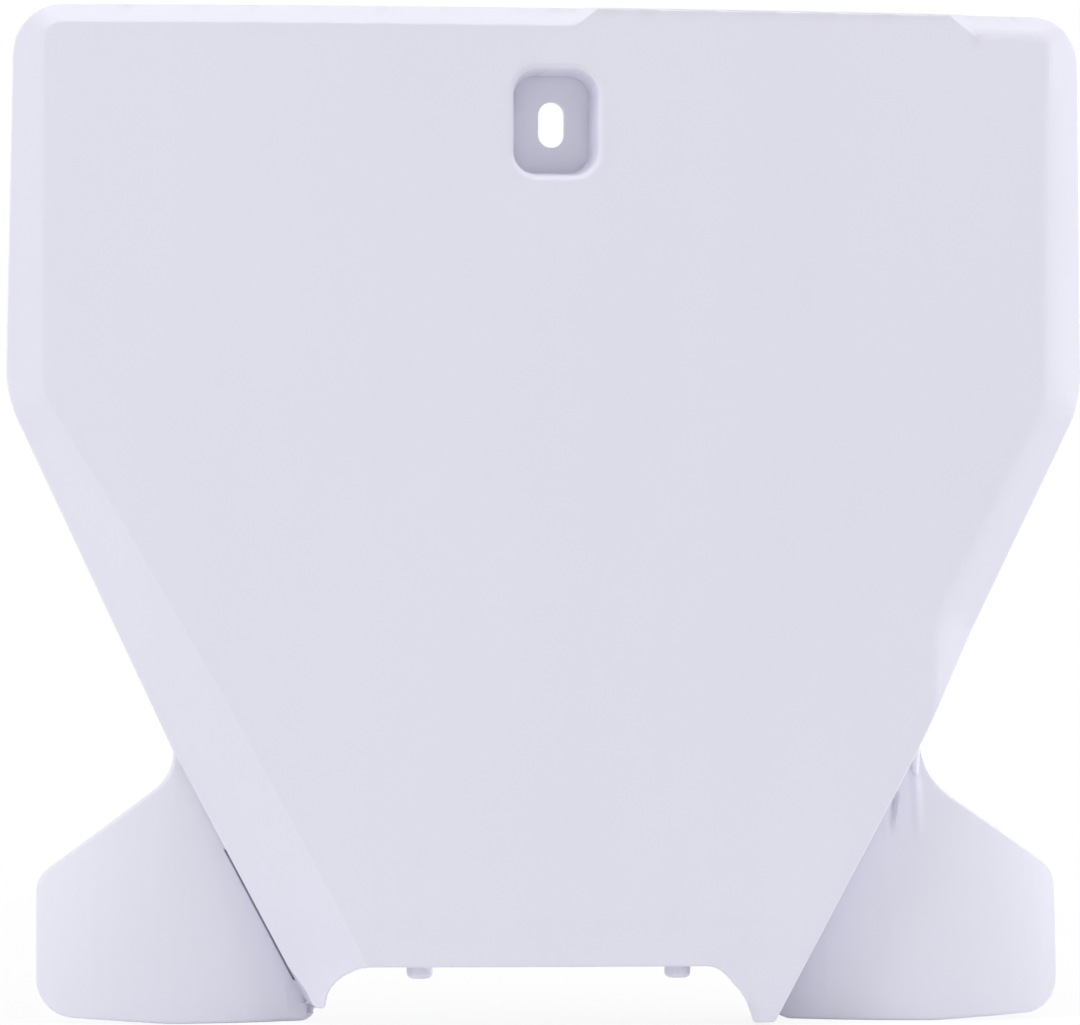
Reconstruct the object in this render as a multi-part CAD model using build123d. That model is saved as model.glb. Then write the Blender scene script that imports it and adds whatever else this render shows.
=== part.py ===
from build123d import *
import math
import os

# Racing number board, moulded in one piece of polypropylene. All sizes are in millimetres.
# The front faces -Y, +X is to the right seen from the front, and +Z is up.
# The origin is the middle of the top slot, on the rear face of the pocket floor,
# where the board seats on its bracket.

# Panel outline, as heights above and drops below the slot and half widths from the middle
TOP_RISE = 28.5
TOP_HALF_WIDTH = 133.7
KINK_DROP = 68.0
KINK_FLARE = 1.6
WAIST_DROP = 156.6
LEFT_WAIST_HALF_WIDTH = 93.4
RIGHT_WAIST_HALF_WIDTH = 92.0
BOTTOM_DROP = 209.5
LEFT_BASE_HALF_WIDTH = 65.0
RIGHT_BASE_HALF_WIDTH = 63.6
TOP_CORNER_RADIUS = 12.5
KINK_RADIUS = 30.0

# Feet at the lower ends of the two V edges
FOOT_ARC_RADIUS = 9.1
LEFT_FOOT_WIDTH = 11.1
LEFT_FOOT_LENGTH = 11.9
LEFT_TOE_OUTER_RADIUS = 3.6
LEFT_TOE_INNER_RADIUS = 1.4
RIGHT_FOOT_WIDTH = 13.4
RIGHT_FOOT_LENGTH = 14.1
RIGHT_TOE_RADIUS = 1.3

# Section of the panel: a gentle bow about an upright axis, with a rim turned back all round
WALL = 2.3
BOW_RADIUS = 1000.0
RIM_DEPTH = 13.0
RIM_EDGE_RADIUS = 0.6

# Bevelled border: the left band runs down to the foot, the right band runs out at the waist
LEFT_SIDE_BEVEL = 9.0
LEFT_FOOT_BEVEL = 19.5
RIGHT_SIDE_BEVEL = 10.2
RUN_OUT_DROP = 123.0
RUN_OUT_BEVEL = 12.0
BEVEL_ANGLE = 27.0
TOP_BEVEL_WIDTH = 4.6
TOP_BEVEL_EXTRA_ANGLE = 8.0
LEFT_CREASE_RADIUS = 1.2
RIGHT_CREASE_RADIUS = 6.0
CORNER_CREASE_RADIUS = 9.0
KINK_CREASE_RADIUS = 30.0

# Top bevel: it stops right of the middle and starts again before the right crease
BREAK_START = 4.8
RIGHT_BAND_LENGTH = 20.1
BREAK_SLANT = 6.0

# Bolt pocket and its upright slot
POCKET_WIDTH = 21.5
POCKET_HEIGHT = 26.8
POCKET_DEPTH = 11.5
POCKET_CORNER_RADIUS = 6.5
POCKET_DRAFT = 7.0
POCKET_MOUTH_RADIUS = 1.7
FLOOR = 2.5
SLOT_WIDTH = 6.6
SLOT_HEIGHT = 11.4

# Wings that wrap round the fork legs, behind the V edges
LEFT_WING_REACH = 33.7
RIGHT_WING_REACH = 39.5
LEFT_NECK_RADIUS = 12.2
RIGHT_NECK_RADIUS = 20.0
RIGHT_NECK_RISE = 4.8
LEFT_WING_SLOPE = 37.4
RIGHT_WING_SLOPE = 33.1
WING_BOTTOM_DROP = 224.3
WING_TIP_RISE = 1.9
WING_TIP_RUN = 33.0
WING_UPPER_RADIUS = 7.5
WING_LOWER_RADIUS = 9.5
LEFT_HEEL_RADIUS = 4.0
RIGHT_HEEL_RADIUS = 6.0
WING_CREST_X = 97.0
WING_CREST_DEPTH = 13.0
WING_RADIUS = 90.0
WING_WALL = 2.2
WING_EDGE_RADIUS = 0.9

# Slim fold that runs down the front of the right wing from its neck
FOLD_OFFSET = 0.9
FOLD_RADIUS = 1.6
FOLD_TIP_RADIUS = 0.2
FOLD_SINK = 0.5
FOLD_START_DROP = 153.0
FOLD_LENGTH = 28.0

# Groove between each V edge and its wing, and the recess beside each foot
GROOVE_WIDTH = 0.6
GROOVE_DEPTH = 1.2
GROOVE_START_DROP = 181.0
GROOVE_END_DROP = 214.0
LEFT_RECESS_INSET = 5.8
RIGHT_RECESS_INSET = 4.4
RECESS_HEIGHT = 8.0
RECESS_DEPTH = 4.0
RECESS_SILL = 1.9
HEEL_WALL = 2.0

# Locating pegs, hanging from a shelf behind the bottom edge
PEG_SPACING = 64.6
PEG_RADIUS = 3.25
PEG_REACH = 3.3
PEG_DEPTH = 8.0
PEG_END_RADIUS = 1.5
SHELF_RISE = 9.6
SHELF_THICKNESS = 2.2

# Stiffening ribs behind the pocket and above the shelf
RIB_THICKNESS = 1.8
POCKET_RIB_SPACING = 15.0
SHELF_RIB_HEIGHT = 26.0

# Places that follow from the sizes
FRONT_Y = -(POCKET_DEPTH + FLOOR)
KINK_HALF_WIDTH = TOP_HALF_WIDTH + KINK_FLARE
LEFT_FOOT_INNER = LEFT_BASE_HALF_WIDTH - LEFT_FOOT_WIDTH
RIGHT_FOOT_INNER = RIGHT_BASE_HALF_WIDTH - RIGHT_FOOT_WIDTH
LEFT_RECESS_HALF_WIDTH = LEFT_BASE_HALF_WIDTH - LEFT_RECESS_INSET
RIGHT_RECESS_HALF_WIDTH = RIGHT_BASE_HALF_WIDTH - RIGHT_RECESS_INSET
LEFT_CREASE_X = KINK_HALF_WIDTH - LEFT_SIDE_BEVEL
RIGHT_CREASE_X = KINK_HALF_WIDTH - RIGHT_SIDE_BEVEL
BREAK_END = RIGHT_CREASE_X - RIGHT_BAND_LENGTH
TOP_BEVEL_DEPTH = TOP_BEVEL_WIDTH * math.tan(math.radians(BEVEL_ANGLE + TOP_BEVEL_EXTRA_ANGLE))
WING_CREST_Y = FRONT_Y + WING_CREST_DEPTH
WING_SPREAD = 0.75 * WING_RADIUS
HEEL_DEPTH = RECESS_DEPTH + HEEL_WALL
HEEL_HEIGHT = RECESS_SILL + RECESS_HEIGHT + HEEL_WALL

# Cutting blocks reach past the board by a margin, and edges nearer than TOUCH meet at a point
MARGIN = 40.0
BACK_Y = FRONT_Y + 2 * MARGIN
LOWEST = max(BOTTOM_DROP + max(LEFT_FOOT_LENGTH, RIGHT_FOOT_LENGTH), WING_BOTTOM_DROP) + MARGIN
WIDEST = max(TOP_HALF_WIDTH, KINK_HALF_WIDTH, RIGHT_WAIST_HALF_WIDTH + RIGHT_WING_REACH) + MARGIN
REACH = 4 * WIDEST
TOUCH = 0.0001


def face_y(x, depth=0.0):
    """Y of the bowed front, or of the surface that lies depth behind it, at x."""
    return FRONT_Y + BOW_RADIUS - math.sqrt((BOW_RADIUS - depth) ** 2 - x ** 2)


def of_side(side, left, right):
    """Left or right value of a size that differs between the two sides."""
    return left if side < 0 else right


def v_edge_x(side, drop):
    """Half width of one side of the V at a drop below the slot."""
    waist = of_side(side, LEFT_WAIST_HALF_WIDTH, RIGHT_WAIST_HALF_WIDTH)
    base = of_side(side, LEFT_BASE_HALF_WIDTH, RIGHT_BASE_HALF_WIDTH)
    if drop < WAIST_DROP:
        share = (drop - KINK_DROP) / (WAIST_DROP - KINK_DROP)
        return KINK_HALF_WIDTH + share * (waist - KINK_HALF_WIDTH)
    share = (drop - WAIST_DROP) / (BOTTOM_DROP - WAIST_DROP)
    return waist + share * (base - waist)


def side_run(side):
    """Corners of one side of the panel in the front view, from the top to the bottom edge."""
    run = [(side * TOP_HALF_WIDTH, TOP_RISE), (side * KINK_HALF_WIDTH, -KINK_DROP)]
    return run + [(side * v_edge_x(side, drop), -drop) for drop in (WAIST_DROP, BOTTOM_DROP)]


def upright(outline, front, back):
    """Prism of a front-view outline between two Y positions."""
    return Pos(0, back, 0) * extrude(Plane.XZ * outline, amount=back - front)


def arc_slab(crest_x, crest_y, radius, half_width, near, far):
    """Upright slab between two depths behind a surface that is bowed about an upright axis."""
    arcs = []
    for depth in (near, far):
        y = crest_y + depth
        end_y = crest_y + radius - math.sqrt((radius - depth) ** 2 - half_width ** 2)
        ends = [(crest_x + side * half_width, end_y) for side in (-1, 1)]
        arcs.append(ThreePointArc(ends[0], (crest_x, y), ends[1]))
    sides = [Line(arcs[0] @ end, arcs[1] @ end) for end in (0, 1)]
    section = make_face(Wire(arcs + sides))
    return Pos(0, 0, -LOWEST) * extrude(section, amount=LOWEST + TOP_RISE + MARGIN)


def bow_slab(near, far):
    """Everything between two depths behind the bowed front of the panel."""
    return arc_slab(0, FRONT_Y, BOW_RADIUS, WIDEST, near, far)


def wing_slab(side, near, far):
    """Everything between two depths behind the front of one wing."""
    return arc_slab(side * WING_CREST_X, WING_CREST_Y, WING_RADIUS, WING_SPREAD, near, far)


def facing_plane(a, b, c):
    """Plane through three points, with its normal towards the front."""
    a, b, c = Vector(*a), Vector(*b), Vector(*c)
    normal = (b - a).cross(c - a).normalized()
    return Plane(origin=a, z_dir=normal if normal.Y < 0 else -normal)


def bevel_plane(upper, lower):
    """Plane that leaves the face along a crease and falls away outwards at the bevel angle."""
    along = Vector(lower[0] - upper[0], lower[1] - upper[1]).normalized()
    side = math.copysign(1.0, upper[0])
    outward = Vector(-along.Y, along.X) * side
    out_x = (upper[0] + lower[0]) / 2 + outward.X * RIM_DEPTH
    out_z = (upper[1] + lower[1]) / 2 + outward.Y * RIM_DEPTH
    fall = RIM_DEPTH * math.tan(math.radians(BEVEL_ANGLE))
    return facing_plane(
        (upper[0], face_y(upper[0]), upper[1]),
        (lower[0], face_y(lower[0]), lower[1]),
        (out_x, face_y(out_x) + fall, out_z),
    )


def beyond(plane, inset):
    """Everything in front of a plane that has been moved inwards by inset."""
    above = (Align.CENTER, Align.CENTER, Align.MIN)
    return plane.offset(-inset) * Box(REACH, REACH, REACH, align=above)


def creases():
    """Crease lines of the border in the front view, as pairs of upper and lower points."""
    left_x, right_x = -LEFT_CREASE_X, RIGHT_CREASE_X
    run_out_x = v_edge_x(1, RUN_OUT_DROP) - RUN_OUT_BEVEL
    left_foot = (LEFT_FOOT_BEVEL - LEFT_BASE_HALF_WIDTH, -BOTTOM_DROP)
    return {
        "left_side": ((left_x, TOP_RISE), (left_x, -KINK_DROP)),
        "left_v": ((left_x, -KINK_DROP), left_foot),
        "right_side": ((right_x, TOP_RISE), (right_x, -KINK_DROP)),
        "right_v": ((right_x, -KINK_DROP), (run_out_x, -RUN_OUT_DROP)),
        "run_out": ((run_out_x, -RUN_OUT_DROP), (run_out_x, -WAIST_DROP)),
    }


def top_bevel(inset):
    """Wedge that bevels the top edge along the whole bow."""
    slant = math.hypot(TOP_BEVEL_WIDTH, TOP_BEVEL_DEPTH)
    crease_z = TOP_RISE - TOP_BEVEL_WIDTH - inset * TOP_BEVEL_DEPTH / slant
    crease_y = FRONT_Y + inset * TOP_BEVEL_WIDTH / slant

    def on_slope(step):
        return (0, crease_y + step * TOP_BEVEL_DEPTH, crease_z + step * TOP_BEVEL_WIDTH)

    steps = MARGIN / min(TOP_BEVEL_WIDTH, TOP_BEVEL_DEPTH)
    low, high = on_slope(-steps), on_slope(steps)
    section = make_face(Polyline(low, high, (0, low[1], high[2]), close=True))
    axis = Axis((0, FRONT_Y + BOW_RADIUS, 0), (0, 0, 1))
    half_turn = math.degrees(math.asin(WIDEST / BOW_RADIUS))
    start = section.rotate(axis, -half_turn)
    return revolve(start, axis, 2 * half_turn)


def break_facet(crease_x, edge_x):
    """Plane that closes the top bevel where its band stops."""
    crease_z = TOP_RISE - TOP_BEVEL_WIDTH
    return facing_plane(
        (crease_x, face_y(crease_x), crease_z),
        (edge_x, face_y(edge_x), TOP_RISE),
        (crease_x, face_y(crease_x, TOP_BEVEL_DEPTH), TOP_RISE),
    )


def crowned(inset, far):
    """The bowed face with its bevelled border, moved inwards by inset, without the outline."""
    planes = {name: bevel_plane(*ends) for name, ends in creases().items()}
    body = bow_slab(inset, far)
    for name in ("left_side", "left_v", "right_side"):
        body -= beyond(planes[name], inset)
    body -= beyond(planes["right_v"], inset) & beyond(planes["run_out"], inset)
    band = top_bevel(inset)
    middle = (BREAK_START + BREAK_END) / 2
    for side, crease_x in ((-1, BREAK_START), (1, BREAK_END)):
        facet = break_facet(crease_x, crease_x - side * BREAK_SLANT)
        half = Pos(middle + side * REACH / 2, 0, 0) * Box(REACH, REACH, REACH)
        body -= band & half & beyond(facet, inset)
    return body


def panel_outline():
    """Front-view outline of the panel, with its two feet."""
    edges = []
    corners = []
    feet = (
        (-1, LEFT_FOOT_INNER, LEFT_FOOT_LENGTH, LEFT_TOE_OUTER_RADIUS, LEFT_TOE_INNER_RADIUS),
        (1, RIGHT_FOOT_INNER, RIGHT_FOOT_LENGTH, RIGHT_TOE_RADIUS, RIGHT_TOE_RADIUS),
    )
    for side, inner, length, outer_radius, inner_radius in feet:
        tip = BOTTOM_DROP + length
        inner_x = side * inner
        arc_start = (inner_x, -BOTTOM_DROP - FOOT_ARC_RADIUS)
        arc_end = (inner_x - side * FOOT_ARC_RADIUS, -BOTTOM_DROP)
        toe = [(side * v_edge_x(side, tip), -tip), (inner_x, -tip)]
        run = side_run(side)[:-1]
        edges += Polyline((0, TOP_RISE), *run, *toe, arc_start).edges()
        edges.append(RadiusArc(arc_start, arc_end, -side * FOOT_ARC_RADIUS))
        edges.append(Line(arc_end, (0, -BOTTOM_DROP)))
        corners += [(run[0], TOP_CORNER_RADIUS), (run[1], KINK_RADIUS)]
        corners += [(toe[0], outer_radius), (toe[1], inner_radius)]
    face = make_face(Wire(edges))
    for point, radius in corners:
        face = round_corner(face, point, radius)
    return face


def round_corner(face, point, radius):
    """Rounds the corner of a flat face that lies nearest to a point."""
    corner = face.vertices().sort_by_distance((point[0], point[1], 0))[0]
    return fillet(corner, radius)


def hollow_outline(inset):
    """Front-view outline of the hollow behind the panel, open below the bottom edge."""
    corners = side_run(1) + side_run(-1)[::-1]
    face = make_face(Polyline(*corners, close=True))
    for x, z in corners[:2] + corners[-2:]:
        face = round_corner(face, (x, z), TOP_CORNER_RADIUS if z == TOP_RISE else KINK_RADIUS)
    inner = offset(face, -inset, kind=Kind.INTERSECTION)
    start, end = FOOT_ARC_RADIUS - LEFT_FOOT_INNER, RIGHT_FOOT_INNER - FOOT_ARC_RADIUS
    return inner + Pos((start + end) / 2, -BOTTOM_DROP) * Rectangle(end - start, 4 * inset)


def hollow(inset, far):
    """The space behind the panel's skin, moved inwards by inset."""
    return crowned(inset, far) & upright(hollow_outline(inset), FRONT_Y, BACK_Y)


def panel():
    """The bowed and bevelled panel with its rim, hollow behind."""
    block = soften_creases(crowned(0, MARGIN)) & bow_slab(0, RIM_DEPTH)
    skin = block & upright(panel_outline(), FRONT_Y - MARGIN, BACK_Y)
    return fillet(rim_edges(skin), RIM_EDGE_RADIUS) - hollow(WALL, MARGIN)


def rim_edges(skin):
    """Outer edges of the front, where the panel turns back into its rim."""
    walls = [face for face in skin.faces() if abs(face.normal_at().Y) < TOUCH]

    def in_front(edge):
        middle = edge.center()
        level = abs(edge.tangent_at(0.5).Y) < 0.5
        return level and middle.Y < face_y(middle.X, RIM_DEPTH) - TOUCH

    return [edge for wall in walls for edge in wall.edges() if in_front(edge)]


def soften_creases(body):
    """Rounds the mitres of the border, then its creases: crisp on the left, soft on the right."""
    ends = creases()
    for name in ("left_side", "right_side"):
        x, kink_z = ends[name][1]
        body = round_mitre(body, (x, face_y(x), TOP_RISE - TOP_BEVEL_WIDTH), CORNER_CREASE_RADIUS)
        body = round_mitre(body, (x, face_y(x), kink_z), KINK_CREASE_RADIUS)
    for side, radius in ((-1, LEFT_CREASE_RADIUS), (1, RIGHT_CREASE_RADIUS)):
        body = fillet(border_edges(body, side), radius)
    return body


def round_mitre(body, corner, radius):
    """Rounds the edge that runs outwards from a corner of the creases."""
    point = Vector(*body.vertices().sort_by_distance(corner)[0])
    meeting = [edge for edge in body.edges() if edge.distance_to(point) < TOUCH]
    deepest = max(meeting, key=lambda edge: (edge.center() - point).Y)
    return fillet(deepest, radius)


def border_edges(body, side):
    """Crease edges of the bowed front on one side of the break in the top bevel."""
    front = min(body.faces().filter_by(GeomType.CYLINDER), key=lambda face: face.center().Y)
    middle = (BREAK_START + BREAK_END) / 2
    low, high = -LOWEST + WALL, TOP_RISE
    edges = [edge for edge in front.edges() if low < edge.center().Z < high]
    return [edge for edge in edges if side * (edge.center().X - middle) > 0]


def web_x(side, drop):
    """Half width at the inner face of the wall that joins a V edge to its wing."""
    run = v_edge_x(side, WAIST_DROP) - v_edge_x(side, BOTTOM_DROP)
    fall = BOTTOM_DROP - WAIST_DROP
    return v_edge_x(side, drop) - WALL * math.hypot(run, fall) / fall


def wing_outline(side):
    """Front-view outline of one wing, from the waist round to its heel behind the foot."""
    slope = math.radians(of_side(side, LEFT_WING_SLOPE, RIGHT_WING_SLOPE))
    neck_drop = WAIST_DROP - of_side(side, 0.0, RIGHT_NECK_RISE)
    neck_x = v_edge_x(side, neck_drop)
    neck_radius = of_side(side, LEFT_NECK_RADIUS, RIGHT_NECK_RADIUS)
    tip_x = v_edge_x(side, WAIST_DROP) + of_side(side, LEFT_WING_REACH, RIGHT_WING_REACH)
    neck = (side * neck_x, -neck_drop)
    shoulder_x = neck_x + neck_radius * (1 - math.sin(slope))
    shoulder_z = -neck_drop - neck_radius * math.cos(slope)
    upper_z = shoulder_z - (tip_x - shoulder_x) * math.tan(slope)
    shoulder = (side * shoulder_x, shoulder_z)
    upper = (side * tip_x, upper_z)
    lower = (side * tip_x, -WING_BOTTOM_DROP + WING_TIP_RISE)
    keel = (side * (tip_x - WING_TIP_RUN), -WING_BOTTOM_DROP)
    heel = (side * web_x(side, WING_BOTTOM_DROP), -WING_BOTTOM_DROP)
    root = (side * web_x(side, WAIST_DROP), -WAIST_DROP)
    sides = Polyline(shoulder, upper, lower, keel, heel, root, neck).edges()
    face = make_face(Wire([TangentArc(neck, shoulder, tangent=(0, -1)), *sides]))
    face = round_corner(face, upper, WING_UPPER_RADIUS)
    face = round_corner(face, lower, WING_LOWER_RADIUS)
    return round_corner(face, heel, of_side(side, LEFT_HEEL_RADIUS, RIGHT_HEEL_RADIUS))


def wing(side):
    """One wing: a curved plate with a rounded rim and a recessed heel behind the foot."""
    outline = wing_outline(side)
    plate = wing_slab(side, 0, WING_WALL) & upright(outline, FRONT_Y, BACK_Y)
    front = min(plate.faces().filter_by(GeomType.CYLINDER), key=lambda face: -face.radius)
    middles = [(edge, edge.center()) for edge in front.edges()]
    rim = [edge for edge, at in middles if side * at.X > v_edge_x(side, -at.Z)]
    plate = fillet(rim, WING_EDGE_RADIUS)
    base = -WING_BOTTOM_DROP
    recess_width = of_side(side, LEFT_RECESS_HALF_WIDTH, RIGHT_RECESS_HALF_WIDTH)
    heel_box = corner_box(side, recess_width + HEEL_WALL, base, HEEL_HEIGHT)
    heel = upright(outline & heel_box, FRONT_Y, BACK_Y) & wing_slab(side, WING_WALL / 2, HEEL_DEPTH)
    recess_box = corner_box(side, recess_width, base + RECESS_SILL, RECESS_HEIGHT)
    recess = upright(recess_box, FRONT_Y, BACK_Y) & wing_slab(side, -WING_WALL, RECESS_DEPTH)
    return plate + heel - recess


def fold():
    """Tapering fold on the front of the right wing, from its neck downwards."""
    x = v_edge_x(1, WAIST_DROP) + FOLD_OFFSET
    y = WING_CREST_Y + WING_RADIUS - math.sqrt(WING_RADIUS ** 2 - (x - WING_CREST_X) ** 2)
    below = (Align.CENTER, Align.CENTER, Align.MAX)
    spike = Cone(FOLD_TIP_RADIUS, FOLD_RADIUS, FOLD_LENGTH, align=below)
    return Pos(x, y + FOLD_SINK, -FOLD_START_DROP) * Rot(0, 0, 90) * spike


def corner_box(side, half_width, base, height):
    """Front-view rectangle from the middle of the board to a half width, above a base height."""
    return Pos(side * half_width / 2, base + height / 2) * Rectangle(half_width, height)


def v_strip(side, start_drop, end_drop, inner, outer):
    """Front-view strip along a V edge, between two offsets across it."""
    ends = [(v_edge_x(side, drop), -drop) for drop in (start_drop, end_drop)]
    corners = [(side * (x + inner), z) for x, z in ends]
    corners += [(side * (x + outer), z) for x, z in reversed(ends)]
    return make_face(Polyline(*corners, close=True))


def web(side):
    """Wall that carries the rim of the V back to the wing, down to the toe."""
    across = v_edge_x(side, WAIST_DROP) - web_x(side, WAIST_DROP)
    strip = v_strip(side, WAIST_DROP, WING_BOTTOM_DROP, -across, 0) & panel_outline()
    wall = upright(strip, FRONT_Y, BACK_Y) & bow_slab(RIM_DEPTH - WALL, 2 * MARGIN)
    return wall & wing_slab(side, -MARGIN, WING_WALL)


def groove(side):
    """Shadow line cut into the wing beside the lower V edge."""
    strip = v_strip(side, GROOVE_START_DROP, GROOVE_END_DROP, 0, GROOVE_WIDTH)
    return upright(strip, FRONT_Y, BACK_Y) & wing_slab(side, -WING_WALL, GROOVE_DEPTH)


def tapered(width, height, corner, depth, start):
    """Block with rounded corners that narrows by the pocket draft from the front to the back."""
    plane = Plane(origin=(0, start, 0), x_dir=(1, 0, 0), z_dir=(0, 1, 0))
    return extrude(plane * RectangleRounded(width, height, corner), amount=depth, taper=POCKET_DRAFT)


def add_pocket(board):
    """Sinks the bolt pocket into the panel, with a rounded mouth and the upright slot."""
    width, height = POCKET_WIDTH + 2 * WALL, POCKET_HEIGHT + 2 * WALL
    boss = tapered(width, height, POCKET_CORNER_RADIUS + WALL, POCKET_DEPTH + FLOOR, FRONT_Y)
    board += boss & bow_slab(WALL / 2, MARGIN)
    board -= tapered(POCKET_WIDTH, POCKET_HEIGHT, POCKET_CORNER_RADIUS, POCKET_DEPTH, FRONT_Y)
    board = fillet(mouth_edges(board), POCKET_MOUTH_RADIUS)
    slot = SlotOverall(SLOT_HEIGHT, SLOT_WIDTH, rotation=90)
    return board - upright(slot, FRONT_Y + WALL, FLOOR)


def mouth_edges(board):
    """Edges of the pocket's mouth on the bowed front."""
    def in_mouth(edge):
        middle = edge.center()
        beside = abs(middle.X) < POCKET_WIDTH / 2 + WALL
        level = abs(middle.Z) < POCKET_HEIGHT / 2 + WALL
        return beside and level and middle.Y < FRONT_Y + WALL / 2

    return [edge for edge in board.edges() if in_mouth(edge)]


def shelf_and_ribs():
    """Shelf behind the bottom edge and the ribs, inside the hollow of the panel."""
    shelf_z = -BOTTOM_DROP + SHELF_RISE
    pieces = Pos(0, 0, shelf_z) * Box(REACH, REACH, SHELF_THICKNESS)
    rib_z = (POCKET_HEIGHT / 2 + TOP_RISE) / 2
    rib_height = TOP_RISE - POCKET_HEIGHT / 2 + rib_z
    for side in (-1, 1):
        pocket_rib = Box(RIB_THICKNESS, REACH, rib_height)
        pieces += Pos(side * POCKET_RIB_SPACING / 2, 0, rib_z) * pocket_rib
        x = side * PEG_SPACING / 2
        near, far = face_y(x), face_y(x, RIM_DEPTH)
        corners = [(near, shelf_z), (far, shelf_z), (near, shelf_z + SHELF_RIB_HEIGHT)]
        gusset = Plane.YZ * make_face(Polyline(*corners, close=True))
        pieces += Pos(x - RIB_THICKNESS / 2, 0, 0) * extrude(gusset, amount=RIB_THICKNESS)
    return pieces & hollow(WALL / 2, RIM_DEPTH)


def peg(side):
    """One round peg that hangs from the shelf and reaches below the bottom edge."""
    x = side * PEG_SPACING / 2
    length = SHELF_RISE + PEG_REACH
    post = Cylinder(PEG_RADIUS, length, align=(Align.CENTER, Align.CENTER, Align.MIN))
    post = fillet(post.edges().sort_by(Axis.Z)[0], PEG_END_RADIUS)
    return Pos(x, face_y(x, PEG_DEPTH), -BOTTOM_DROP - PEG_REACH) * post


def number_board():
    """The whole board as one solid."""
    board = add_pocket(panel() + shelf_and_ribs())
    for side in (-1, 1):
        board += [wing(side), web(side), peg(side)]
        board -= groove(side)
    return board + fold()


if __name__ == "__main__":
    os.makedirs("parts", exist_ok=True)
    export_step(number_board(), "parts/number_board.step")
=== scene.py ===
import math

import bmesh
import bpy
from bpy.props import FloatProperty, FloatVectorProperty, PointerProperty
from mathutils import Matrix, Vector


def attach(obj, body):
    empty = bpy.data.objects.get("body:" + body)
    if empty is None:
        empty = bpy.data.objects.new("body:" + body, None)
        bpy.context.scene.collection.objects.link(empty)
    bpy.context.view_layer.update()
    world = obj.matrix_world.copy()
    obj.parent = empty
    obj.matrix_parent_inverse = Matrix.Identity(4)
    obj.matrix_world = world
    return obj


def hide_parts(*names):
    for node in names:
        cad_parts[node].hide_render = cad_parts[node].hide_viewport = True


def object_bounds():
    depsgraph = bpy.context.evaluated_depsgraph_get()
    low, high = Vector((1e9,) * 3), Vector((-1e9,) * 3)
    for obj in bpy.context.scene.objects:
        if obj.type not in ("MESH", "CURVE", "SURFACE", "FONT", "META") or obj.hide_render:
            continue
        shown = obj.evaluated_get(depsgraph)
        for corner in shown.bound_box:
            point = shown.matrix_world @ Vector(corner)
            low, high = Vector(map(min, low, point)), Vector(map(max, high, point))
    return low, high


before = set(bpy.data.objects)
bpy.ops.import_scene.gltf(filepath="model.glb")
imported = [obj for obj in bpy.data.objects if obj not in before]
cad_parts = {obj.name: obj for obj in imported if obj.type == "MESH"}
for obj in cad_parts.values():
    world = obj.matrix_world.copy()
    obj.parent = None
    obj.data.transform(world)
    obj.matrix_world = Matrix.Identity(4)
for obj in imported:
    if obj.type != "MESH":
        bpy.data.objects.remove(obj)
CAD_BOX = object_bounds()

bl_info = {
    "name": "Racing number board",
    "version": (1, 0, 0),
    "blender": (4, 5, 0),
    "location": "3D View > Sidebar > Number Board",
    "description": "Dresses the packed number board in white plastic and sets up its studio",
    "category": "Object",
}

BOARD_NODE = "number_board"
BODY = "root"
PLASTIC_SLOT = "white_plastic"

# Attributes that the surface tree stores and the plastic reads: nearness to convex edges, for
# rubbed wear and a painted highlight, and to concave creases, for dust and painted shade
EDGE_ATTRIBUTE = "edge_nearness"
CREVICE_ATTRIBUTE = "crevice_nearness"

# Inputs of the surface tree and the settings that they take
SHAPE_INPUTS = {
    "Wing Curl": "wing_curl",
    "Border Ease": "border_ease",
    "Recess Shift": "recess_shift",
    "Toe Taper": "toe_taper",
    "Toe Lift": "toe_lift",
    "Right Toe Lean": "right_toe_lean",
    "Right Toe Draft": "right_toe_draft",
    "Fold Height": "fold_height",
    "Crease Depth": "crease_depth",
    "Crease Angle": "crease",
    "Wear Reach": "wear_and_painted_light_reach",
}

# Photograph frame, in pixels
PHOTO_WIDTH = 1080
PHOTO_HEIGHT = 1025
SENSOR_WIDTH = 36.0

# Depth share of a normal, over which a face counts as facing the front
FRONT_FACING = (-0.3, -0.7)

# Lower V edges of the panel in the front view, as half width and height in metres
V_WAIST = (0.0927, -0.1566)
V_BASE = (0.0643, -0.2095)
V_LEAN = (V_WAIST[0] - V_BASE[0]) / (V_WAIST[1] - V_BASE[1])
BEVEL_ANGLE = math.radians(27.0)

# Wings bend back along a line that leans from the upright; the bend starts beside the V edge
CURL_LEAN = math.radians(26.6)
CURL_RUN = 0.033
CURL_BLEND = 0.008

# Fold and crease at the neck of the right wing: upper and lower end in the front view, half width
FOLD = ((0.0929, -0.1580), (0.0943, -0.1830), 0.0018)
CREASE = ((0.0884, -0.1655), (0.0866, -0.1785), 0.0011)

# Shares of their length where fold and crease reach full size and where they start to fade,
# and the corners of the finer grid that carries them
LINE_RISE = 0.25
LINE_FADE = 0.35
NECK_BOX = ((0.0840, -0.1850), (0.0980, -0.1570))

# Left toe in the front view: middle, height of its root and length. Its slimming fades between
# two distances from the middle and between two depths.
TOE_X = -0.0585
TOE_ROOT = -0.2095
TOE_LENGTH = 0.0119
TOE_BESIDE = (0.0072, 0.0090)
TOE_BACK = (0.0030, 0.0060)

# Right toe in the front view: x of the V edge at the root, then drops below the root: where the
# inner edge keeps its place, how far above that it leans, and where the lean fades in
RIGHT_BASE_X = 0.0636
RIGHT_TOE_TURN = 0.0120
RIGHT_TOE_RISE = 0.0078
RIGHT_TOE_TOP = (-0.0050, 0.0025)

# Bands over which that lean fades: x from the middle, and distance inside the V edge
RIGHT_TOE_START = (0.0362, 0.0415)
RIGHT_TOE_OUTER = (0.0, 0.0026)

# Depths of the right toe's face and of the place where its draft stops
RIGHT_TOE_FACE = -0.0122
RIGHT_TOE_BACK = 0.0030

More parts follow.
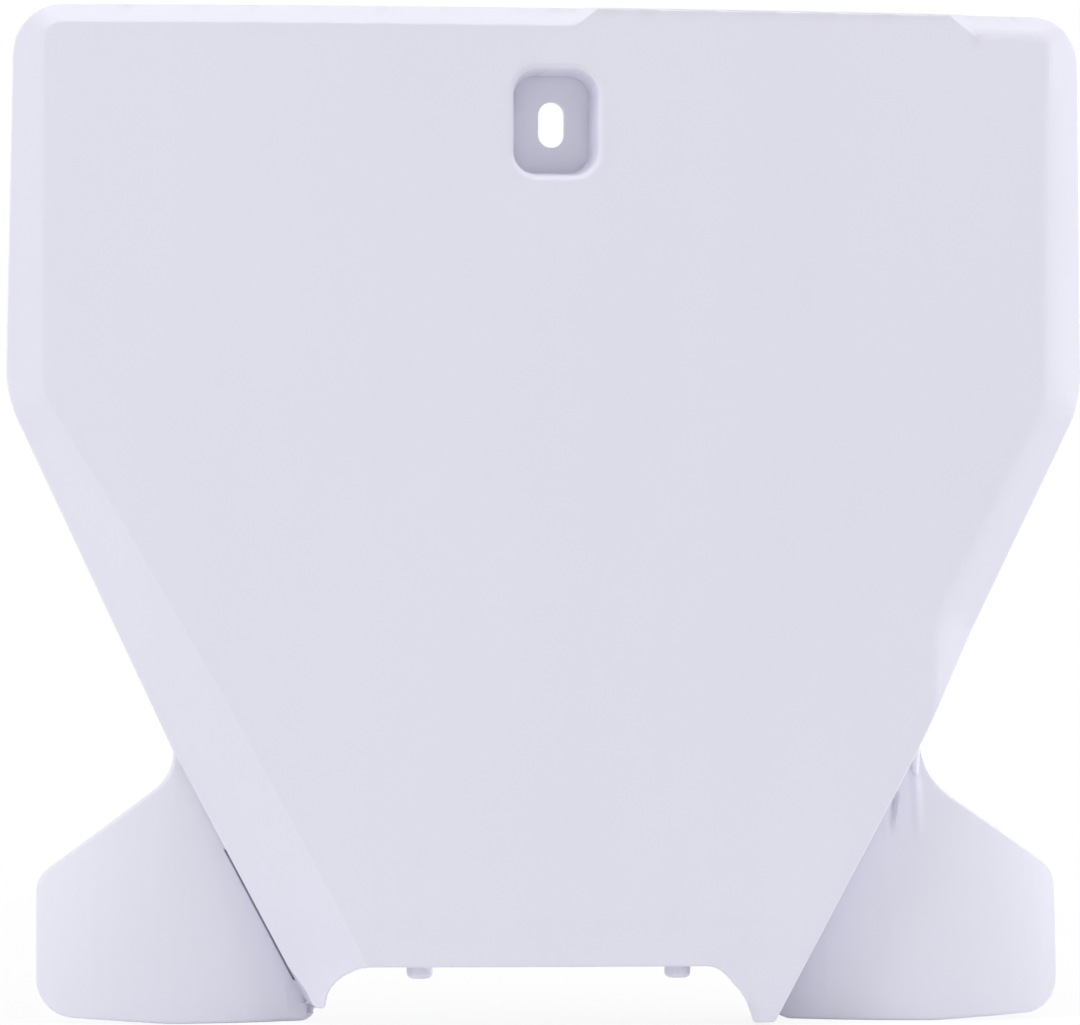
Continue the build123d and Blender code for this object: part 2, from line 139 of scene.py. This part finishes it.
# Left border in the front view: half width at its crease, and the heights between which its
# easing fades
BORDER_CREASE = 0.1263
BORDER_EASE_END = (-0.085, -0.060)

# Right outline in the front view, as lines: x and z share of the outward normal, and distance
RIGHT_SIDES = (
    (1.0, 0.0, 0.1337),
    (0.8985, -0.4390, 0.1510),
    (0.0, 1.0, 0.0165),
)

# Soft right border: bands of x, height and distance inside the outline over which it comes in,
# number of blur passes, and the corners of its finer grid
SOFT_START = (0.060, 0.080)
SOFT_END = (-0.154, -0.144)
SOFT_INSET = (0.0030, 0.0070)
SOFT_PASSES = 40
SOFT_BOX = ((0.0840, -0.1400), (0.1337, 0.0200))

# Side wall of the recess beside the left toe: its x, the heights between which it moves, the
# depth where it starts, and how closely a point has to match them
RECESS_WALL_X = -0.0592
RECESS_HEIGHTS = (-0.2226, -0.2142)
RECESS_FRONT = 0.004
RECESS_WALL_BAND = (0.0002, 0.0003)
RECESS_MARGIN = 0.0001

# Noise in the plastic, in grains for each metre; the flow lines are drawn out along the height
CLOUD_SCALE = 14.0
FLOW_SCALE = (36.0, 36.0, 5.0)
RUB_SCALE = 60.0
DUST_SCALE = 160.0
PEEL_SCALE = 320.0
GRAIN_SCALE = 1400.0

# Noise values between which patches of the lighter convex edges (rubbed wear and painted highlight)
# and of the darker concave creases (dust and painted shade) fade in
PATCH_BAND = (0.3, 0.7)

# How much each of them changes the colour and the roughness
CLOUD_SHADE = 0.03
FLOW_SHADE = 0.03
# The next two lighten convex edges (rubbed wear and a painted highlight) and darken concave creases
# (dust and painted shade)
RUB_HIGHLIGHT_SHADE = 0.02
DUST_CREVICE_SHADE = 0.30
CLOUD_GLOSS = 0.10
GRAIN_GLOSS = 0.06
RUB_GLOSS = 0.08
DUST_GLOSS = 0.10

# Relief of the satin face: share of the fine grain, strength, and depth in metres
GRAIN_RELIEF = 0.4
RELIEF_STRENGTH = 0.05
RELIEF_DEPTH = 0.0002
PLASTIC_IOR = 1.49

# Places of the softboxes, in metres, under the names of their powers
SOFTBOXES = {
    "left_light": (-1.2, -0.25, -0.1),
    "right_light": (1.1, 0.4, -0.1),
    "top_light": (0.0, -0.1, 1.1),
    "upper_left_light": (-0.8, -0.4, 0.8),
    "upper_right_light": (0.8, -0.4, 0.8),
}

# Floor, in metres: half its side, and the distances from the board over which its shadow fades
FLOOR_HALF_SIDE = 6.0
SHADOW_START = 0.2
SHADOW_END = 0.6


class BoardSurface(bpy.types.PropertyGroup):
    """Sizes of the board's visible mesh"""

    weld: FloatProperty(
        name="Weld",
        description="Corners nearer than this become one",
        default=0.00001,
        unit="LENGTH",
        precision=6,
    )
    # The grid also lets the painted edge highlight and the painted crevice shade vary over large
    # faces
    cell: FloatProperty(
        name="Cell",
        description="Spacing of the grid that cuts large faces, so that wear can vary over them",
        default=0.004,
        unit="LENGTH",
        precision=4,
    )
    border_cell: FloatProperty(
        name="Border cell",
        description="Spacing of the finer grid over the soft border at the right",
        default=0.002,
        unit="LENGTH",
        precision=4,
    )
    neck_cell: FloatProperty(
        name="Neck cell",
        description="Spacing of the finer grid at the neck of the right wing",
        default=0.0005,
        unit="LENGTH",
        precision=5,
    )
    wing_curl: FloatProperty(
        name="Wing curl",
        description="How far back the upper outer corner of each wing bends",
        default=0.0060,
        unit="LENGTH",
        precision=4,
    )
    border_ease: FloatProperty(
        name="Border ease",
        description="Share by which the bevel down the left side is flattened",
        default=0.5,
        min=0.0,
        max=1.0,
        subtype="FACTOR",
    )
    recess_shift: FloatProperty(
        name="Recess shift",
        description="How far out the side wall of the recess beside the left toe moves",
        default=0.0014,
        unit="LENGTH",
        precision=4,
    )
    toe_taper: FloatProperty(
        name="Toe taper",
        description="How much narrower the left toe is at its end than at its root",
        default=0.38,
        min=0.0,
        max=1.0,
        subtype="FACTOR",
    )
    toe_lift: FloatProperty(
        name="Toe lift",
        description="How far the end of the left toe is drawn up",
        default=0.0012,
        unit="LENGTH",
        precision=4,
    )
    right_toe_lean: FloatProperty(
        name="Right toe lean",
        description="Slant of the inner edge of the right toe",
        default=0.45,
        min=0.0,
        max=1.0,
        subtype="FACTOR",
    )
    right_toe_draft: FloatProperty(
        name="Right toe draft",
        description="How much the inner wall of the right toe turns out of sight behind its face",
        default=0.14,
        min=0.0,
        max=1.0,
        subtype="FACTOR",
    )
    fold_height: FloatProperty(
        name="Fold height",
        description="Height of the soft fold at the neck of the right wing",
        default=0.0007,
        unit="LENGTH",
        precision=4,
    )
    crease_depth: FloatProperty(
        name="Crease depth",
        description="Depth of the crease beside that fold",
        default=0.0015,
        unit="LENGTH",
        precision=4,
    )
    crease: FloatProperty(
        name="Crease angle",
        description="Faces that turn by more than this keep a sharp edge between them",
        default=math.radians(28),
        subtype="ANGLE",
    )
    # Reach of the lighter convex edges (rubbed wear and painted highlight) and of the darker
    # concave creases (dust and painted shade)
    wear_and_painted_light_reach: FloatProperty(
        name="Wear reach",
        description="How far rubbed edges and dusty corners reach over the surface",
        default=0.0035,
        unit="LENGTH",
        precision=4,
    )


class BoardFinish(bpy.types.PropertyGroup):
    """Colour and gloss of the moulded plastic"""

    colour: FloatVectorProperty(
        name="Plastic",
        description="Colour of the clean plastic",
        default=(0.79, 0.785, 0.89),
        subtype="COLOR",
        size=3,
        min=0.0,
        max=1.0,
    )
    # Colour of corner dust, also used as painted shade in concave creases
    dust_and_crevice_shade_colour: FloatVectorProperty(
        name="Dust",
        description="Colour of the dust that stays in corners",
        default=(0.60, 0.59, 0.64),
        subtype="COLOR",
        size=3,
        min=0.0,
        max=1.0,
    )
    roughness: FloatProperty(
        name="Roughness",
        description="Roughness of the satin face",
        default=0.42,
        min=0.0,
        max=1.0,
        subtype="FACTOR",
    )


class Studio(bpy.types.PropertyGroup):
    """Camera and light around the board"""

    turn: FloatProperty(
        name="Turn",
        description="Angle of the view to the right of straight on",
        default=math.radians(6.0),
        subtype="ANGLE",
    )
    tilt: FloatProperty(
        name="Tilt",
        description="Angle of the view above the level",
        default=math.radians(0.0),
        subtype="ANGLE",
    )
    roll: FloatProperty(
        name="Roll",
        description="Turn of the camera about its own line of sight",
        default=math.radians(-0.251),
        subtype="ANGLE",
    )
    distance: FloatProperty(
        name="Distance",
        description="Camera to the middle of the board",
        default=1.4,
        unit="LENGTH",
    )
    target: FloatVectorProperty(
        name="Target",
        description="Point that the camera looks at",
        default=(0.0, -0.006, -0.097),
        subtype="XYZ",
        unit="LENGTH",
        size=3,
    )
    target_pixel: FloatVectorProperty(
        name="Target pixel",
        description="Where the target stands in the picture",
        default=(551.0, 513.3),
        size=2,
    )
    pixels_per_metre: FloatProperty(
        name="Pixels per metre",
        description="Scale of the picture at the target",
        default=4013.0,
    )
    dome: FloatProperty(
        name="Dome",
        description="Even light from all round",
        default=0.49,
        min=0.0,
    )
    left_light: FloatProperty(
        name="Left light",
        description="Power of the softbox at the left",
        default=3.9,
        min=0.0,
        unit="POWER",
    )
    right_light: FloatProperty(
        name="Right light",
        description="Power of the softbox at the right, behind the board",
        default=10.0,
        min=0.0,
        unit="POWER",
    )
    top_light: FloatProperty(
        name="Top light",
        description="Power of the softbox straight above",
        default=3.0,
        min=0.0,
        unit="POWER",
    )
    upper_left_light: FloatProperty(
        name="Upper left light",
        description="Power of the softbox in front, above and to the left",
        default=3.8,
        min=0.0,
        unit="POWER",
    )
    upper_right_light: FloatProperty(
        name="Upper right light",
        description="Power of the softbox in front, above and to the right",
        default=4.2,
        min=0.0,
        unit="POWER",
    )
    softbox_size: FloatProperty(
        name="Softbox size",
        description="Side of each square softbox",
        default=0.8,
        unit="LENGTH",
    )
    shadow: FloatProperty(
        name="Shadow",
        description="How far the floor under the board darkens in its shadow",
        default=0.15,
        min=0.0,
        max=1.0,
        subtype="FACTOR",
    )
    floor_colour: FloatVectorProperty(
        name="Floor",
        description="Colour of the floor",
        default=(0.93, 0.93, 0.93),
        subtype="COLOR",
        size=3,
        min=0.0,
        max=1.0,
    )


class Wire:
    """A shader socket with arithmetic, so that an expression on wires adds its own Math nodes"""

    def __init__(self, tree, socket=None):
        self.tree = tree
        self.socket = socket

    def node(self, kind, settings=None, inputs=None, output=0):
        """Adds a node, sets its settings first, then the values or links of its sockets."""
        made = self.tree.nodes.new(kind)
        for name, value in (settings or {}).items():
            setattr(made, name, value)
        for name, value in (inputs or {}).items():
            if isinstance(value, Wire):
                self.tree.links.new(value.socket, made.inputs[name])
            else:
                made.inputs[name].default_value = value
        return Wire(self.tree, made.outputs[output])

    def math(self, operation, first, second):
        return self.node("ShaderNodeMath", {"operation": operation}, {0: first, 1: second})

    def __add__(self, other):
        return self.math("ADD", self, other)

    __radd__ = __add__

    def __sub__(self, other):
        return self.math("SUBTRACT", self, other)

    def __rsub__(self, other):
        return self.math("SUBTRACT", other, self)

    def __mul__(self, other):
        return self.math("MULTIPLY", self, other)

    __rmul__ = __mul__

    def __pow__(self, other):
        return self.math("POWER", self, other)

    def limited(self, low, high):
        """A smooth step from 0 at low to 1 at high."""
        settings = {"interpolation_type": "SMOOTHSTEP"}
        inputs = {"Value": self, "From Min": low, "From Max": high}
        return self.node("ShaderNodeMapRange", settings, inputs)

    def noise(self, scale, detail=2.0):
        """Noise from 0 to 1 on these coordinates, with scale grains in each metre."""
        inputs = {"Vector": self, "Scale": scale, "Detail": detail}
        return self.node("ShaderNodeTexNoise", inputs=inputs)

    def axes(self):
        """The three coordinates of a vector."""
        split = self.node("ShaderNodeSeparateXYZ", inputs={"Vector": self})
        return [Wire(self.tree, socket) for socket in split.socket.node.outputs]

    def stretched(self, scale):
        """These coordinates, scaled along each axis."""
        return self.node("ShaderNodeMapping", inputs={"Vector": self, "Scale": scale})


def mixed(factor, first, second):
    """A colour between two colours, by a factor from 0 to 1."""
    settings = {"data_type": "RGBA"}
    return factor.node("ShaderNodeMix", settings, {0: factor, 6: first, 7: second}, output=2)


def opaque(colour):
    """A colour with full alpha."""
    return (*colour, 1.0)


def plastic_material(finish):
    """Satin white polypropylene: faint clouding, fine grain, edges lightened by rubbed wear and a
    painted highlight, and a little dust with painted shade in concave creases.
    """
    material = bpy.data.materials.new(PLASTIC_SLOT)
    material.use_nodes = True
    tree = material.node_tree
    shader = tree.nodes["Principled BSDF"]
    start = Wire(tree)
    place = start.node("ShaderNodeTexCoord", output="Object")
    edge = start.node("ShaderNodeAttribute", {"attribute_name": EDGE_ATTRIBUTE}, output="Fac")
    crevice = start.node("ShaderNodeAttribute", {"attribute_name": CREVICE_ATTRIBUTE}, output="Fac")

    clouds = place.noise(CLOUD_SCALE, 3.0)
    flow = place.stretched(FLOW_SCALE).noise(1.0, 3.0)
    peel = place.noise(PEEL_SCALE, 1.0)
    grain = place.noise(GRAIN_SCALE, 2.0)
    # Convex edges get lighter and glossier: rubbed wear and a painted highlight
    rubbed_highlit = (edge ** 3.0) * place.noise(RUB_SCALE, 3.0).limited(*PATCH_BAND)
    # Concave creases darken towards the dust colour: dust and painted shade
    dusty_shaded = (crevice ** 2.0) * (0.5 + place.noise(DUST_SCALE, 3.0).limited(*PATCH_BAND))

    # shade lifts the colour along convex edges: rubbed wear and a painted highlight
    shade = 1.0 + (clouds - 0.5) * CLOUD_SHADE + (flow - 0.5) * FLOW_SHADE + rubbed_highlit * RUB_HIGHLIGHT_SHADE
    white = start.node("ShaderNodeMix", {"data_type": "RGBA", "blend_type": "MULTIPLY"},
                       {0: 1.0, 6: opaque(finish.colour), 7: shade}, output=2)
    colour = mixed(dusty_shaded * DUST_CREVICE_SHADE, white, opaque(finish.dust_and_crevice_shade_colour))
    tree.links.new(colour.socket, shader.inputs["Base Color"])

    gloss = finish.roughness + (clouds - 0.5) * CLOUD_GLOSS + (grain - 0.5) * GRAIN_GLOSS
    gloss = gloss - rubbed_highlit * RUB_GLOSS + dusty_shaded * DUST_GLOSS
    tree.links.new(gloss.socket, shader.inputs["Roughness"])

    height = grain * GRAIN_RELIEF + peel
    relief = {"Height": height, "Strength": RELIEF_STRENGTH, "Distance": RELIEF_DEPTH}
    bump = start.node("ShaderNodeBump", inputs=relief)
    tree.links.new(bump.socket, shader.inputs["Normal"])
    shader.inputs["IOR"].default_value = PLASTIC_IOR
    return material


def grid_planes(low, high, cell):
    """Upright and level cutting planes between two corners of the front view."""
    planes = []
    for axis, start, end in zip((Vector((1, 0, 0)), Vector((0, 0, 1))), low, high):
        steps = math.floor((end - start) / cell)
        planes += [(axis * (start + (step + 0.5) * cell), axis) for step in range(steps)]
    return planes


def cut_grid(shape, low, high, cell, weld):
    """Cuts the faces between two corners of the front view into cells."""
    def inside(face):
        middle = face.calc_center_median()
        return low[0] <= middle.x <= high[0] and low[1] <= middle.z <= high[1]

    for point, normal in grid_planes(low, high, cell):
        faces = [face for face in shape.faces if inside(face)]
        edges = {edge for face in faces for edge in face.edges}
        corners = {corner for face in faces for corner in face.verts}
        parts = [*corners, *edges, *faces]
        bmesh.ops.bisect_plane(shape, geom=parts, dist=weld, plane_co=point, plane_no=normal)


def welded_copy(node, surface):
    """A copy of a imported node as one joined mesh, cut into a grid of small faces."""
    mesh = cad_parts[node].data.copy()
    shape = bmesh.new()
    shape.from_mesh(mesh)
    bmesh.ops.remove_doubles(shape, verts=shape.verts, dist=surface.weld)
    bmesh.ops.dissolve_degenerate(shape, edges=shape.edges, dist=surface.weld)
    low, high = CAD_BOX
    cut_grid(shape, (low.x, low.z), (high.x, high.z), surface.cell, surface.weld)
    cut_grid(shape, *SOFT_BOX, surface.border_cell, surface.weld)
    cut_grid(shape, *NECK_BOX, surface.neck_cell, surface.weld)
    shape.to_mesh(mesh)
    shape.free()
    mesh.materials.clear()
    return mesh


def curled_wings(place, curl):
    """How far each point of the wings bends back, more the farther it stands out from the V."""
    x, _, z = place.axes()
    across = place.math("ABSOLUTE", x, 0.0)
    reach = across * (math.cos(CURL_LEAN) / CURL_RUN) + z * (math.sin(CURL_LEAN) / CURL_RUN)
    beyond = place.math("MAXIMUM", reach, 0.0)
    beside = across - V_WAIST[0] - (z - V_WAIST[1]) * V_LEAN
    return curl * beyond ** 2.0 * beside.limited(0.0, CURL_BLEND)


def along_line(place, upper, lower, half_width):
    """A soft hump along a line of the front view, zero at its half width and its ends."""
    x, _, z = place.axes()
    share = (upper[1] - z) * (1.0 / (upper[1] - lower[1]))
    off = place.math("ABSOLUTE", x - upper[0] - share * (lower[0] - upper[0]), 0.0)
    ends = share.limited(0.0, LINE_RISE) * share.limited(1.0, LINE_FADE)
    return off.limited(half_width, 0.0) * ends


def toe_share(place):
    """One at the end of the left toe, easing to zero at its root, beside it and behind it."""
    x, y, z = place.axes()
    down = ((TOE_ROOT - z) * (1.0 / TOE_LENGTH)).limited(0.0, 1.0)
    beside = place.math("ABSOLUTE", x - TOE_X, 0.0).limited(TOE_BESIDE[1], TOE_BESIDE[0])
    return down * beside * y.limited(TOE_BACK[1], TOE_BACK[0])


def right_toe_slant(place, lean, draft):
    """How far the inner edge of the right toe moves: in near its root, out behind its face."""
    x, y, z = place.axes()
    drop = TOE_ROOT - z
    above = place.math("MAXIMUM", drop - RIGHT_TOE_TURN, -RIGHT_TOE_RISE)
    above = place.math("MINIMUM", above, 0.0)
    behind = place.math("MINIMUM", y, RIGHT_TOE_BACK) - RIGHT_TOE_FACE
    from_v = RIGHT_BASE_X - drop * V_LEAN - x
    share = from_v.limited(*RIGHT_TOE_OUTER) * x.limited(*RIGHT_TOE_START)
    share = share * drop.limited(*RIGHT_TOE_TOP)
    return share * (lean * above + draft * behind)


def eased_border(place, ease):
    """How far the bevel down the left side comes forward, from its crease to the edge."""
    x, _, z = place.axes()
    out = place.math("MAXIMUM", -1.0 * x - BORDER_CREASE, 0.0)
    return ease * out * math.tan(BEVEL_ANGLE) * z.limited(*BORDER_EASE_END)


def recess_wall(place):
    """One on the side wall of the recess beside the left toe, zero elsewhere."""
    x, y, z = place.axes()
    near, far = RECESS_WALL_BAND
    low, high = RECESS_HEIGHTS
    on_wall = place.math("ABSOLUTE", x - RECESS_WALL_X, 0.0).limited(far, near)
    level = z.limited(low - RECESS_MARGIN, low) * z.limited(high + RECESS_MARGIN, high)
    return on_wall * level * y.limited(RECESS_FRONT - RECESS_MARGIN, RECESS_FRONT)


def softened(geometry):
    """Rounds the creases of the right border over a wider band, clear of the outline."""
    place = geometry.node("GeometryNodeInputPosition")
    x, _, z = place.axes()
    inset, *others = [distance - x * share_x - z * share_z
                      for share_x, share_z, distance in RIGHT_SIDES]
    for other in others:
        inset = place.math("MINIMUM", inset, other)
    _, facing, _ = geometry.node("GeometryNodeInputNormal").axes()
    soft = inset.limited(*SOFT_INSET) * x.limited(*SOFT_START) * z.limited(*SOFT_END)
    soft = soft * facing.limited(*FRONT_FACING)
    spread = place.node("GeometryNodeBlurAttribute", {"data_type": "FLOAT_VECTOR"},
                        {"Value": place, "Iterations": SOFT_PASSES, "Weight": soft})
    moved = {"Geometry": geometry, "Position": spread}
    return geometry.node("GeometryNodeSetPosition", inputs=moved)


def shaped(geometry, given):
    """Bends the wings back, eases the left border, and forms the right neck and both toes."""
    place = geometry.node("GeometryNodeInputPosition")
    x, _, _ = place.axes()
    _, facing, _ = geometry.node("GeometryNodeInputNormal").axes()
    front = facing.limited(*FRONT_FACING)
    back = curled_wings(place, given["Wing Curl"])
    back = back - front * given["Fold Height"] * along_line(place, *FOLD)
    back = back + front * given["Crease Depth"] * along_line(place, *CREASE)
    back = back - eased_border(place, given["Border Ease"])
    toe = toe_share(place)
    across = (TOE_X - x) * given["Toe Taper"] * toe
    across = across - given["Recess Shift"] * recess_wall(place)
    across = across + right_toe_slant(place, given["Right Toe Lean"], given["Right Toe Draft"])
    up = given["Toe Lift"] * toe
    offset = geometry.node("ShaderNodeCombineXYZ", inputs={"X": across, "Y": back, "Z": up})
    return geometry.node("GeometryNodeSetPosition", inputs={"Geometry": geometry, "Offset": offset})


def surface_tree():
    """Tree that shapes the board, marks its convex edges for wear and a painted highlight and its
    concave corners for dust and painted shade, and smooths it.
    """
    tree = bpy.data.node_groups.new("Moulded surface", "GeometryNodeTree")
    panel = tree.interface
    panel.new_socket("Geometry", in_out="INPUT", socket_type="NodeSocketGeometry")
    for name in SHAPE_INPUTS:
        panel.new_socket(name, in_out="INPUT", socket_type="NodeSocketFloat")
    panel.new_socket("Material", in_out="INPUT", socket_type="NodeSocketMaterial")
    panel.new_socket("Geometry", in_out="OUTPUT", socket_type="NodeSocketGeometry")
    start = Wire(tree)
    inputs = tree.nodes.new("NodeGroupInput")
    given = {socket.name: Wire(tree, socket) for socket in inputs.outputs if socket.name}
    crease = given["Crease Angle"]
    turn = start.node("GeometryNodeInputMeshEdgeAngle", output="Signed Angle")
    flat = start.node("GeometryNodeInputMeshEdgeAngle", output="Unsigned Angle")
    geometry = shaped(softened(given["Geometry"]), given)
    stored = geometry
    # Nearness to convex edges feeds the rubbed wear and painted highlight; nearness to concave
    # creases feeds the dust and painted shade
    for name, plain in ((EDGE_ATTRIBUTE, turn), (CREVICE_ATTRIBUTE, -1.0 * turn)):
        blunt = start.node("FunctionNodeCompare", {"operation": "LESS_THAN"}, {0: plain, 1: crease})
        lines = start.node("GeometryNodeDeleteGeometry", {"domain": "EDGE"},
                           {"Geometry": geometry, "Selection": blunt})
        away = start.node("GeometryNodeProximity", {"target_element": "EDGES"},
                          {"Geometry": lines}, output="Distance")
        near = start.node("ShaderNodeMapRange", inputs={
            "Value": away, "From Min": 0.0, "From Max": given["Wear Reach"],
            "To Min": 1.0, "To Max": 0.0})
        stored = start.node("GeometryNodeStoreNamedAttribute",
                            {"data_type": "FLOAT", "domain": "POINT"},
                            {"Geometry": stored, "Name": name, "Value": near})
    smooth = start.node("FunctionNodeCompare", {"operation": "LESS_THAN"}, {0: flat, 1: crease})
    rounded = start.node("GeometryNodeSetShadeSmooth", {"domain": "FACE"}, {"Geometry": stored})
    edged = start.node("GeometryNodeSetShadeSmooth", {"domain": "EDGE"},
                       {"Geometry": rounded, "Shade Smooth": smooth})
    whole = start.node("GeometryNodeRealizeInstances", inputs={"Geometry": edged})
    done = start.node("GeometryNodeSetMaterial",
                      inputs={"Geometry": whole, "Material": given["Material"]})
    tree.links.new(done.socket, tree.nodes.new("NodeGroupOutput").inputs[0])
    return tree


def set_inputs(modifier, values):
    """Sets a Geometry Nodes modifier's inputs by the identifiers of their sockets."""
    for item in modifier.node_group.interface.items_tree:
        if item.in_out == "INPUT" and item.name in values:
            modifier[item.identifier] = values[item.name]


def finished_mesh(piece):
    """Turns an object with modifiers into a plain mesh."""
    bpy.context.view_layer.update()
    graph = bpy.context.evaluated_depsgraph_get()
    mesh = bpy.data.meshes.new_from_object(piece.evaluated_get(graph), depsgraph=graph)
    piece.modifiers.clear()
    piece.data = mesh
    mesh.name = piece.name


class NUMBERBOARD_OT_mould_board(bpy.types.Operator):
    """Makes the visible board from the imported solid, with its plastic"""

    bl_idname = "number_board.mould_board"
    bl_label = "Mould the board"

    def execute(self, context):
        settings = context.scene.number_board
        surface = settings.surface
        board = bpy.data.objects.new("board_moulding", welded_copy(BOARD_NODE, surface))
        context.scene.collection.objects.link(board)
        material = plastic_material(settings.finish)
        modifier = board.modifiers.new("Moulded surface", "NODES")
        modifier.node_group = surface_tree()
        sizes = {name: getattr(surface, source) for name, source in SHAPE_INPUTS.items()}
        set_inputs(modifier, {**sizes, "Material": material})
        board.modifiers.new("Face normals", "WEIGHTED_NORMAL").keep_sharp = True
        finished_mesh(board)
        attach(board, BODY)
        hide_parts(BOARD_NODE)
        return {"FINISHED"}


def white_to_eye(tree):
    """One for rays from the camera, from reflections and through glass, zero for other light."""
    start = Wire(tree)
    names = ("Is Camera Ray", "Is Glossy Ray", "Is Transmission Ray")
    camera, glossy, clear = (start.node("ShaderNodeLightPath", output=name) for name in names)
    return start.math("MAXIMUM", start.math("MAXIMUM", camera, glossy), clear)


def floor_material(studio):
    """Pale floor that shows as white, apart from a share that takes the board's shadow."""
    material = bpy.data.materials.new("studio_floor")
    material.use_nodes = True
    tree = material.node_tree
    start = Wire(tree)
    matt = start.node("ShaderNodeBsdfDiffuse", inputs={"Color": opaque(studio.floor_colour)})
    white = start.node("ShaderNodeEmission",
                       inputs={"Color": opaque((1.0, 1.0, 1.0)), "Strength": 1.0})
    place = start.node("ShaderNodeTexCoord", output="Object")
    away = place.node("ShaderNodeVectorMath", {"operation": "DISTANCE"},
                      {0: place, 1: (0.0, 0.0, CAD_BOX[0].z)}, output="Value")
    clear = 1.0 - studio.shadow * away.limited(SHADOW_END, SHADOW_START)
    seen = start.node("ShaderNodeMixShader",
                      inputs={0: white_to_eye(tree) * clear, 1: matt, 2: white})
    tree.links.new(seen.socket, tree.nodes["Material Output"].inputs["Surface"])
    return material


def add_floor(studio):
    """A wide pale floor under the lowest point of the board."""
    low = CAD_BOX[0].z
    half = FLOOR_HALF_SIDE
    mesh = bpy.data.meshes.new("studio_floor")
    corners = [(x * half, y * half, low) for x, y in ((-1, -1), (1, -1), (1, 1), (-1, 1))]
    mesh.from_pydata(corners, [], [(0, 1, 2, 3)])
    floor = bpy.data.objects.new("studio_floor", mesh)
    floor.data.materials.append(floor_material(studio))
    bpy.context.scene.collection.objects.link(floor)


def add_world(studio):
    """Even light all round, seen as plain white by the camera and in reflections."""
    world = bpy.data.worlds.new("studio_dome")
    world.use_nodes = True
    bpy.context.scene.world = world
    tree = world.node_tree
    strength = studio.dome + white_to_eye(tree) * (1.0 - studio.dome)
    tree.links.new(strength.socket, tree.nodes["Background"].inputs["Strength"])
    tree.nodes["Background"].inputs["Color"].default_value = opaque((1.0, 1.0, 1.0))


def add_softbox(name, place, studio, power):
    """A square area lamp that faces the board."""
    lamp = bpy.data.lights.new(name, "AREA")
    lamp.shape = "SQUARE"
    lamp.size = studio.softbox_size
    lamp.energy = power
    softbox = bpy.data.objects.new(name, lamp)
    softbox.location = place
    facing = Vector(studio.target) - Vector(place)
    softbox.rotation_euler = facing.to_track_quat("-Z", "Y").to_euler()
    bpy.context.scene.collection.objects.link(softbox)


def add_camera(studio):
    """Long-lens camera a little to one side of straight on."""
    sight = Vector((
        math.sin(studio.turn) * math.cos(studio.tilt),
        math.cos(studio.turn) * math.cos(studio.tilt),
        -math.sin(studio.tilt),
    ))
    right = Vector((math.cos(studio.turn), -math.sin(studio.turn), 0.0))
    up = right.cross(sight)
    right_rolled = right * math.cos(studio.roll) - up * math.sin(studio.roll)
    up_rolled = right * math.sin(studio.roll) + up * math.cos(studio.roll)
    place = Vector(studio.target) - sight * studio.distance
    lens = bpy.data.cameras.new("studio_camera")
    lens.sensor_width = SENSOR_WIDTH
    lens.lens = studio.pixels_per_metre * studio.distance * SENSOR_WIDTH / PHOTO_WIDTH
    lens.shift_x = (PHOTO_WIDTH / 2 - studio.target_pixel[0]) / PHOTO_WIDTH
    lens.shift_y = (studio.target_pixel[1] - PHOTO_HEIGHT / 2) / PHOTO_WIDTH
    camera = bpy.data.objects.new("studio_camera", lens)
    turned = Matrix((right_rolled, up_rolled, -sight)).transposed().to_4x4()
    camera.matrix_world = Matrix.Translation(place) @ turned
    bpy.context.scene.collection.objects.link(camera)
    bpy.context.scene.camera = camera


class NUMBERBOARD_OT_set_stage(bpy.types.Operator):
    """Sets up the floor, the light and the camera"""

    bl_idname = "number_board.set_stage"
    bl_label = "Set the stage"

    def execute(self, context):
        studio = context.scene.number_board.studio
        add_floor(studio)
        add_world(studio)
        for name, place in SOFTBOXES.items():
            add_softbox(name, place, studio, getattr(studio, name))
        add_camera(studio)
        context.scene.view_settings.view_transform = "Standard"
        return {"FINISHED"}


class NumberBoardSettings(bpy.types.PropertyGroup):
    """All settings of the number board"""

    surface: PointerProperty(type=BoardSurface, name="Surface", description="Mesh of the board")
    finish: PointerProperty(type=BoardFinish, name="Finish", description="Plastic of the board")
    studio: PointerProperty(type=Studio, name="Studio", description="Camera and light")


class NUMBERBOARD_PT_sidebar(bpy.types.Panel):
    """Settings and steps of the number board"""

    bl_idname = "NUMBERBOARD_PT_sidebar"
    bl_label = "Number Board"
    bl_space_type = "VIEW_3D"
    bl_region_type = "UI"
    bl_category = "Number Board"

    def draw(self, context):
        settings = context.scene.number_board
        for title, group, operator in (
            ("Board", settings.surface, None),
            ("Plastic", settings.finish, NUMBERBOARD_OT_mould_board),
            ("Studio", settings.studio, NUMBERBOARD_OT_set_stage),
        ):
            box = self.layout.box()
            box.label(text=title)
            for name in group.__annotations__:
                box.prop(group, name)
            if operator:
                box.operator(operator.bl_idname)


CLASSES = (
    BoardSurface,
    BoardFinish,
    Studio,
    NumberBoardSettings,
    NUMBERBOARD_OT_mould_board,
    NUMBERBOARD_OT_set_stage,
    NUMBERBOARD_PT_sidebar,
)


def register():
    for item in CLASSES:
        bpy.utils.register_class(item)
    bpy.types.Scene.number_board = PointerProperty(type=NumberBoardSettings)


def unregister():
    del bpy.types.Scene.number_board
    for item in reversed(CLASSES):
        bpy.utils.unregister_class(item)


def main():
    register()
    bpy.ops.number_board.mould_board()
    bpy.ops.number_board.set_stage()


if __name__ == "__main__":
    main()
